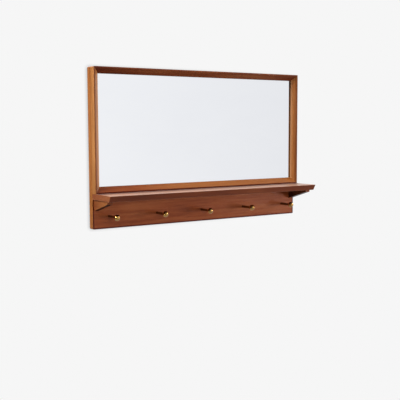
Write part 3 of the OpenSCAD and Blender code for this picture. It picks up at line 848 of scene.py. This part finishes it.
# What reflections see of the room: tones from the left, -1, to the right, 1, and those of the
# floor and of the dim corner behind on the left. The corner and the floor's edge come in over a
# range of the direction's part along Y, X and Z.
PALE = rgb("#f9f9f9")
ROOM_ACROSS = ((-0.55, rgb("#4c4c4e")), (-0.12, rgb("#ececee")), (0.3, PALE), (0.45, PALE),
               (0.68, rgb("#efeff0")), (1.0, rgb("#ececed")))
FLOOR_TONE, DIM_CORNER = rgb("#b0afad"), rgb("#3c3c3e")
CORNER_BEHIND, CORNER_LEFT, FLOOR_EDGE = (-0.1, 0.4), (0.1, -0.3), (-0.5, -0.12)

# The room's own light, as (first, last, strength at first, strength at last) for the direction's
# part along Z and along X
LIGHT_FROM_BELOW, LIGHT_FROM_LEFT = (-0.3, 0.6, 0.22, 0.48), (-0.9, 0.1, 0.25, 1.0)

# The wall and the floor: how far they reach, where they are, how much of the floor's tone is lit,
# and how far and how strongly painted shade darkens the wall close to the object, at its left and
# at its right
WALL_REACH, WALL_TOP, FLOOR_REACH = 6, 4, 8
WALL_Y, FLOOR_Z = 0.6 * MM, -1.5
FLOOR_LIT = 0.2
WALL_SHADE_REACH, WALL_SHADE = 12 * MM, (0.65, 0.1)

# Lamps round a point in the mirror's middle: azimuth and elevation, distance, size, power, whether
# glossy surfaces reflect it, and the pieces that it is kept to
LIT_MIDDLE = Vector((0, -0.05, -0.19))
LAMPS = (
    ("key", -87, 36, 2.6, (0.9, 1.5), 88, True),
    ("fill", 48, -6, 2.3, (0.7, 0.6), 22, False),
    ("front", -10, 3, 2.7, (0.9, 0.6), 18, False),
    ("rear", 165, 25, 2.7, (1.2, 0.9), 26, False),
    ("window", 78, 25, 2.6, (0.5, 0.8), 12, True),
    ("left_glint", -84, 9, 2.5, (0.5, 0.4), 28, True, BALLS),
    ("right_glint", 52, 15, 2.5, (0.4, 0.4), 12, True, BALLS),
)


def studio_world():
    """A pale surround.

    The camera sees it plain. Direct reflections see a room that is pale in front and to the right,
    and dimmer far to the left, behind on the left, and below. Its light on the object is weaker
    from below and from the left.
    """
    world = bpy.data.worlds.new("studio")
    bpy.context.scene.world = world
    world.use_nodes = True
    world.node_tree.nodes.clear()
    w = Network(world.node_tree)
    x, y, z = w.parts(w.node("ShaderNodeTexCoord").outputs["Generated"])
    room = w.ramp(w.spread(x, -1.0, 1.0), [((at + 1) / 2, tone) for at, tone in ROOM_ACROSS])
    corner = w.math("MULTIPLY", w.spread(y, *CORNER_BEHIND), w.spread(x, *CORNER_LEFT))
    around = w.mix(w.spread(z, *FLOOR_EDGE), FLOOR_TONE, w.mix(corner, room, DIM_CORNER))
    strength = w.math("MULTIPLY", w.spread(z, *LIGHT_FROM_BELOW), w.spread(x, *LIGHT_FROM_LEFT))

    seen = w.node("ShaderNodeBackground", {0: BACKGROUND}).outputs[0]
    reflected = w.node("ShaderNodeBackground", {0: around}).outputs[0]
    lit = w.node("ShaderNodeBackground", {0: WHITE, 1: strength}).outputs[0]
    ray = w.node("ShaderNodeLightPath").outputs
    mirrored = w.math("MAXIMUM", ray["Is Glossy Ray"], ray["Is Transmission Ray"])
    direct = w.math("LESS_THAN", ray["Diffuse Depth"], 0.5)
    unseen = w.mix_shaders(w.math("MULTIPLY", mirrored, direct), lit, reflected)
    w.node("ShaderNodeOutputWorld", {0: w.mix_shaders(ray["Is Camera Ray"], unseen, seen)})


def stage_sheet(name, corners, finish):
    """A large pale sheet, which shows only on the side facing the object and lights nothing."""
    material = bpy.data.materials.new(name)
    material.use_nodes = True
    material.node_tree.nodes.clear()
    n = Network(material.node_tree)
    behind = n.node("ShaderNodeNewGeometry").outputs["Backfacing"]
    clear = n.node("ShaderNodeBsdfTransparent").outputs[0]
    n.node("ShaderNodeOutputMaterial", {0: n.mix_shaders(behind, finish(n), clear)})
    mesh = bpy.data.meshes.new(name)
    mesh.from_pydata(corners, [], [(0, 1, 2, 3)])
    mesh.materials.append(material)
    sheet = bpy.data.objects.new(name, mesh)
    bpy.context.scene.collection.objects.link(sheet)
    sheet.visible_diffuse = False
    sheet.visible_shadow = False
    sheet.visible_glossy = False


def floor_finish(n):
    """Mostly the floor's own plain tone, but partly lit, so that the object's shadow shows."""
    lit_share = tuple(c * FLOOR_LIT for c in BACKGROUND[:3]) + (1.0,)
    glow = n.node("ShaderNodeEmission", {0: BACKGROUND, 1: 1 - FLOOR_LIT}).outputs[0]
    paint = n.node("ShaderNodeBsdfDiffuse", {0: lit_share}).outputs[0]
    return n.node("ShaderNodeAddShader", {0: glow, 1: paint}).outputs[0]


def wall_finish(n):
    """The wall's plain tone, with painted shade close to the object, mostly at its left."""
    x = n.parts(n.node("ShaderNodeTexCoord").outputs["Object"])[0]
    free = n.node("ShaderNodeAmbientOcclusion", {"Distance": WALL_SHADE_REACH}).outputs["AO"]
    most = n.spread(x, -HALF_W, HALF_W, *WALL_SHADE)
    lost = n.math("MULTIPLY", n.math("SUBTRACT", 1.0, free), most)
    glow = n.node("ShaderNodeEmission", {0: BACKGROUND, 1: n.math("SUBTRACT", 1.0, lost)})
    return glow.outputs[0]


def softbox(name, azimuth, elevation, distance, size, power, reflected, only=()):
    """An area lamp that faces the lit middle from an azimuth (0 in front, + to the right).

    Glossy surfaces show it if it is reflected. Where pieces are given, it shines on them only.
    """
    a, e = math.radians(azimuth), math.radians(elevation)
    towards = Vector((math.sin(a) * math.cos(e), -math.cos(a) * math.cos(e), math.sin(e)))
    data = bpy.data.lights.new(name, "AREA")
    data.shape = "RECTANGLE"
    data.size, data.size_y = size
    data.energy = power
    lamp = bpy.data.objects.new(name, data)
    turn = towards.to_track_quat("Z", "Y").to_matrix().to_4x4()
    lamp.matrix_world = Matrix.Translation(LIT_MIDDLE + towards * distance) @ turn
    lamp.visible_glossy = reflected
    bpy.context.scene.collection.objects.link(lamp)
    if only:
        lamp.light_linking.receiver_collection = bpy.data.collections.new(name)
        for body in only:
            lamp.light_linking.receiver_collection.objects.link(body)


stage_sheet("wall", [(-WALL_REACH, WALL_Y, FLOOR_Z), (WALL_REACH, WALL_Y, FLOOR_Z),
                     (WALL_REACH, WALL_Y, WALL_TOP), (-WALL_REACH, WALL_Y, WALL_TOP)], wall_finish)
stage_sheet("floor", [(-FLOOR_REACH, -FLOOR_REACH, FLOOR_Z), (FLOOR_REACH, -FLOOR_REACH, FLOOR_Z),
                      (FLOOR_REACH, FLOOR_REACH, FLOOR_Z), (-FLOOR_REACH, FLOOR_REACH, FLOOR_Z)],
            floor_finish)
studio_world()
for lamp in LAMPS:
    softbox(*lamp)

bpy.context.scene.view_settings.view_transform = "Standard"
